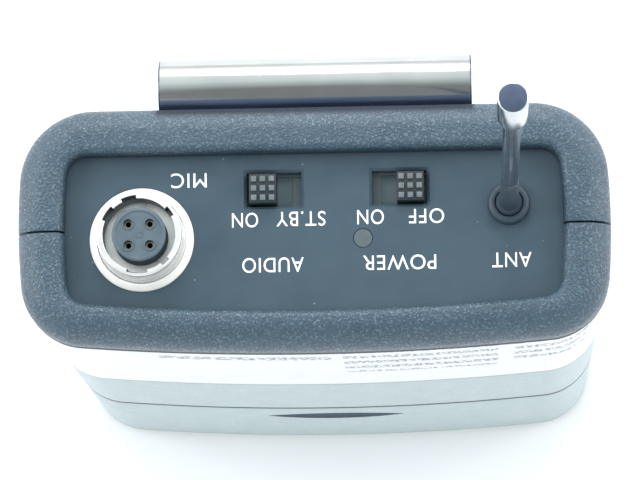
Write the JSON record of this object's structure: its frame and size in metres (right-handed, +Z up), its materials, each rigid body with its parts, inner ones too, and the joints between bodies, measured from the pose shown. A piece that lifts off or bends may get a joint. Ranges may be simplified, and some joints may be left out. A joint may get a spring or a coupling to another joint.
{
  "type": "wireless body-pack transmitter",
  "caption": "Belt-pack wireless transmitter of a lavalier microphone set: rounded black and grey case, microphone socket, slide switches, lamp, whip antenna, belt clip and sliding battery door.",
  "frame": {"origin": "centre of the base, on the surface the pack stands on", "axes": "+Z up to the socket and antenna end, -Y the grey front, +Y the belt-clip side, +X towards the antenna"},
  "size_m": [0.0648, 0.033, 0.1525],
  "materials": {
    "black_case": "fine spark-eroded texture",
    "grey_case": "satin light grey-green",
    "white_label": "satin polyester film",
    "black_panel": "fine matt",
    "black_rubber": "matt",
    "nickel": "satin nickel plate",
    "dark_insulator": "satin",
    "gold_contact": "plated",
    "switch_plastic": "satin",
    "knob_plastic": "satin",
    "lamp_lens": "unlit smoked lens",
    "antenna_sleeve": "extruded sleeve",
    "spring_steel": "bright plated spring steel",
    "screw_steel": "zinc plated",
    "board_green": "solder mask",
    "chip_black": "matt moulding compound",
    "trimmer_blue": "moulded",
    "header_cream": "moulded",
    "lead_red": "insulation",
    "cradle_grey": "moulded",
    "battery_jacket": "plain printed foil jacket",
    "foam": "closed-cell foam"
  },
  "bodies": {
    "case": {"rear_shell": "black_case", "front_collar": "black_case", "front_cover": "grey_case", "front_label": "white_label", "top_panel": "black_panel", "socket_barrel": "nickel", "socket_nut": "nickel", "socket_insulator": "dark_insulator", "socket_contacts": "gold_contact", "audio_switch_frame": "switch_plastic", "power_switch_frame": "switch_plastic", "power_lamp": "lamp_lens", "antenna_collar": "black_rubber", "antenna_feed": "gold_contact", "belt_clip": "spring_steel", "clip_rivets": "screw_steel", "case_screws": "screw_steel", "main_board": "board_green", "board_screws": "screw_steel", "rf_shield": "nickel", "board_parts": "chip_black", "gain_trimmer": "trimmer_blue", "switch_board": "board_green", "board_header": "header_cream", "socket_leads": "lead_red", "battery_cradle": "cradle_grey", "battery": "battery_jacket", "battery_terminals": "nickel", "battery_snap": "chip_black", "battery_leads": "lead_red", "battery_pad": "foam"},
    "audio_slider": {"audio_switch_knob": "knob_plastic"},
    "power_slider": {"power_switch_knob": "knob_plastic"},
    "door": {"battery_door": "grey_case", "door_grip": "black_rubber"},
    "clip_leg": {"belt_clip_leg": "spring_steel"},
    "antenna": {"antenna_boot": "black_rubber", "antenna_sleeve": "antenna_sleeve", "antenna_core": "spring_steel", "antenna_cap": "nickel"}
  },
  "joints": [
    {"name": "audio_switch_slide", "type": "slide", "parent": "case", "child": "audio_slider", "axis": [1, 0, 0], "range_m": [0, 0.0024]},
    {"name": "power_switch_slide", "type": "slide", "parent": "case", "child": "power_slider", "axis": [1, 0, 0], "range_m": [-0.0024, 0]},
    {"name": "battery_door_slide", "type": "slide", "parent": "case", "child": "door", "axis": [0, 0, -1], "range_m": [0, 0.034]},
    {"name": "clip_flex", "type": "hinge", "parent": "case", "child": "clip_leg", "pos_m": [0.0003, 0.02, 0.0866], "axis": [1, 0, 0], "range_deg": [0, 10], "stiffness_Nm_per_rad": 1.5},
    {"name": "antenna_flex", "type": "hinge", "parent": "case", "child": "antenna", "pos_m": [0.0213, 0.00275, 0.0902], "axis": [1, 0, 0], "range_deg": [-25, 25], "stiffness_Nm_per_rad": 0.02}
  ]
}
